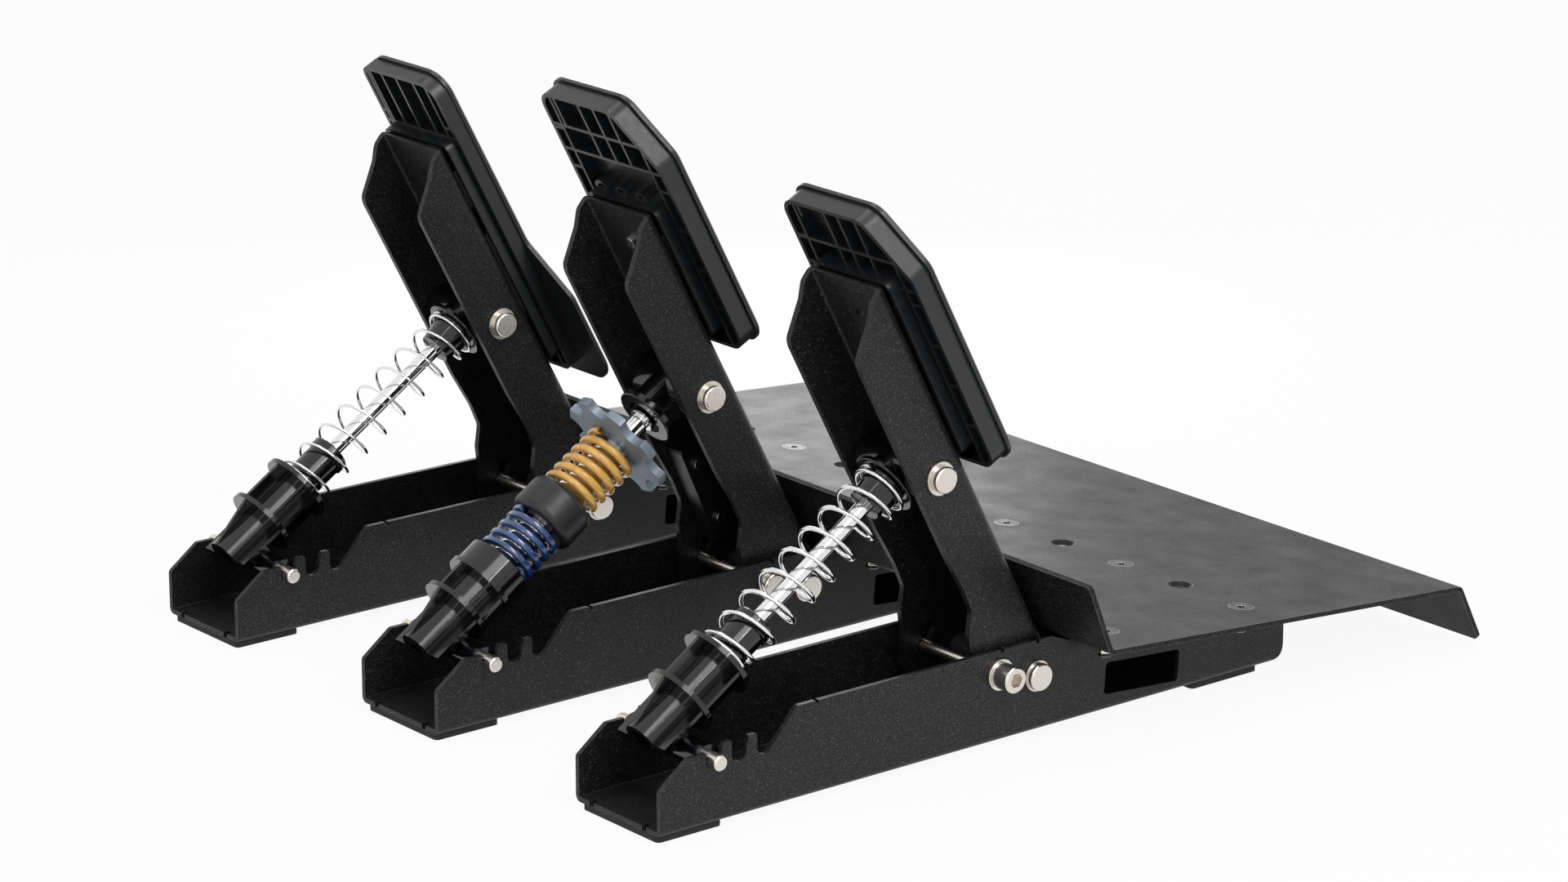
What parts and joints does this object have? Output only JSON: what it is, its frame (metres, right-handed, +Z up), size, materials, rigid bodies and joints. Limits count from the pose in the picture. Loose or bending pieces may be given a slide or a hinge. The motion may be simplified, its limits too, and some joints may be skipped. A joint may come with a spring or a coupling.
{
  "type": "three pedal floor set for driving games",
  "caption": "Floor set of clutch, brake and throttle pedals on folded steel rails, with return springs, a staged brake strut and a shared heel plate.",
  "frame": {"origin": "middle of the set's bounding box in plan, on the floor under the feet", "axes": "+Z up, +Y away from the driver along the rails, +X from the clutch to the throttle"},
  "size_m": [0.3816, 0.387, 0.2327],
  "materials": {
    "powder_coat": "black powder coat with a fine speckle",
    "black_plastic": "satin moulded plastic",
    "gloss_housing": "glossy moulded plastic",
    "nickel": "bright nickel plate",
    "chrome_steel": "polished",
    "black_screws": "blackened steel",
    "zinc": "blue-grey zinc plate",
    "amber_paint": "amber enamel",
    "blue_paint": "royal blue enamel",
    "bush": "self-lubricating bush",
    "rubber_feet": "matt rubber"
  },
  "bodies": {
    "base": {"clutch_rail": "powder_coat", "brake_rail": "powder_coat", "throttle_rail": "powder_coat", "front_feet": "rubber_feet", "rear_feet": "rubber_feet", "heel_plate": "powder_coat", "plate_screws": "black_screws", "plate_nuts": "nickel", "pivot_pins": "nickel", "pivot_washers": "nickel", "stop_pins": "nickel", "stop_washers": "nickel", "stop_bolt": "nickel", "stop_nut": "nickel", "strut_pins": "nickel", "board_cases": "black_plastic"},
    "clutch_lever": {"clutch_arm": "powder_coat", "clutch_bush": "bush", "clutch_pad_carrier": "black_plastic", "clutch_pad_face": "black_plastic", "clutch_pad_screws": "nickel", "clutch_upper_pin": "nickel", "clutch_upper_washers": "nickel"},
    "clutch_ram": {"clutch_eye": "gloss_housing", "clutch_rod": "chrome_steel"},
    "clutch_cylinder": {"clutch_housing": "gloss_housing", "clutch_spring": "chrome_steel"},
    "brake_lever": {"brake_arm": "powder_coat", "brake_bush": "bush", "brake_pad_carrier": "black_plastic", "brake_pad_face": "black_plastic", "brake_pad_screws": "nickel", "brake_upper_pin": "nickel", "brake_upper_washers": "nickel", "sensor_cover": "gloss_housing", "sensor_cover_screws": "nickel"},
    "brake_ram": {"brake_eye": "gloss_housing", "brake_stud": "chrome_steel", "brake_plunger": "chrome_steel"},
    "adjuster": {"adjuster_nut": "zinc"},
    "coupling": {"coupling_cup": "gloss_housing", "amber_spring": "amber_paint"},
    "brake_cylinder": {"brake_housing": "gloss_housing", "blue_spring": "blue_paint"},
    "throttle_lever": {"throttle_arm": "powder_coat", "throttle_bush": "bush", "throttle_pad_carrier": "black_plastic", "throttle_pad_face": "black_plastic", "throttle_pad_screws": "nickel", "throttle_upper_pin": "nickel", "throttle_upper_washers": "nickel"},
    "throttle_ram": {"throttle_eye": "gloss_housing", "throttle_rod": "chrome_steel"},
    "throttle_cylinder": {"throttle_housing": "gloss_housing", "throttle_spring": "chrome_steel"}
  },
  "joints": [
    {"name": "clutch_pedal", "type": "hinge", "parent": "base", "child": "clutch_lever", "pos_m": [-0.1361, 0.0158, 0.0249], "axis": [-1, 0, 0], "range_deg": [0, 20], "stiffness_Nm_per_rad": 30, "springref_deg": -6.88, "deforming": ["clutch_spring"]},
    {"name": "clutch_ram_swing", "type": "hinge", "parent": "clutch_lever", "child": "clutch_ram", "pos_m": [-0.1361, 0.0609, 0.1099], "axis": [-1, 0, 0], "range_deg": [-20.91, 0]},
    {"name": "clutch_cylinder_swing", "type": "hinge", "parent": "base", "child": "clutch_cylinder", "pos_m": [-0.1361, 0.1694, 0.0269], "axis": [-1, 0, 0], "range_deg": [-0.91, 0]},
    {"name": "brake_pedal", "type": "hinge", "parent": "base", "child": "brake_lever", "pos_m": [0, 0.0158, 0.0249], "axis": [-1, 0, 0], "range_deg": [0, 6], "stiffness_Nm_per_rad": 600, "springref_deg": -0.57},
    {"name": "brake_ram_swing", "type": "hinge", "parent": "brake_lever", "child": "brake_ram", "pos_m": [0, 0.0609, 0.1099], "axis": [-1, 0, 0], "range_deg": [-5.79, 0]},
    {"name": "brake_cylinder_swing", "type": "hinge", "parent": "base", "child": "brake_cylinder", "pos_m": [0, 0.1694, 0.0269], "axis": [-1, 0, 0], "range_deg": [0, 0.232]},
    {"name": "throttle_pedal", "type": "hinge", "parent": "base", "child": "throttle_lever", "pos_m": [0.1361, 0.0158, 0.0249], "axis": [-1, 0, 0], "range_deg": [0, 20], "stiffness_Nm_per_rad": 18, "springref_deg": -6.88, "deforming": ["throttle_spring"]},
    {"name": "throttle_ram_swing", "type": "hinge", "parent": "throttle_lever", "child": "throttle_ram", "pos_m": [0.1361, 0.0609, 0.1099], "axis": [-1, 0, 0], "range_deg": [-20.91, 0]},
    {"name": "throttle_cylinder_swing", "type": "hinge", "parent": "base", "child": "throttle_cylinder", "pos_m": [0.1361, 0.1694, 0.0269], "axis": [-1, 0, 0], "range_deg": [-0.91, 0]},
    {"name": "coupling_slide", "type": "slide", "parent": "brake_cylinder", "child": "coupling", "axis": [0, 0.8358, -0.549], "range_m": [0, 0.005], "deforming": ["blue_spring", "amber_spring"]},
    {"name": "adjuster_turn", "type": "hinge", "parent": "brake_ram", "child": "adjuster", "pos_m": [0, 0.0894, 0.09118], "axis": [0, 0.8358, -0.549], "continuous": true}
  ],
  "couplings": [
    {"joint": "clutch_ram_swing", "follows": "clutch_pedal", "ratio": -1.045},
    {"joint": "clutch_cylinder_swing", "follows": "clutch_pedal", "ratio": -0.045},
    {"joint": "brake_ram_swing", "follows": "brake_pedal", "ratio": -0.963},
    {"joint": "brake_cylinder_swing", "follows": "brake_pedal", "ratio": 0.037},
    {"joint": "throttle_ram_swing", "follows": "throttle_pedal", "ratio": -1.045},
    {"joint": "throttle_cylinder_swing", "follows": "throttle_pedal", "ratio": -0.045},
    {"joint": "coupling_slide", "follows": "brake_pedal", "m_per_rad": 0.0477}
  ]
}
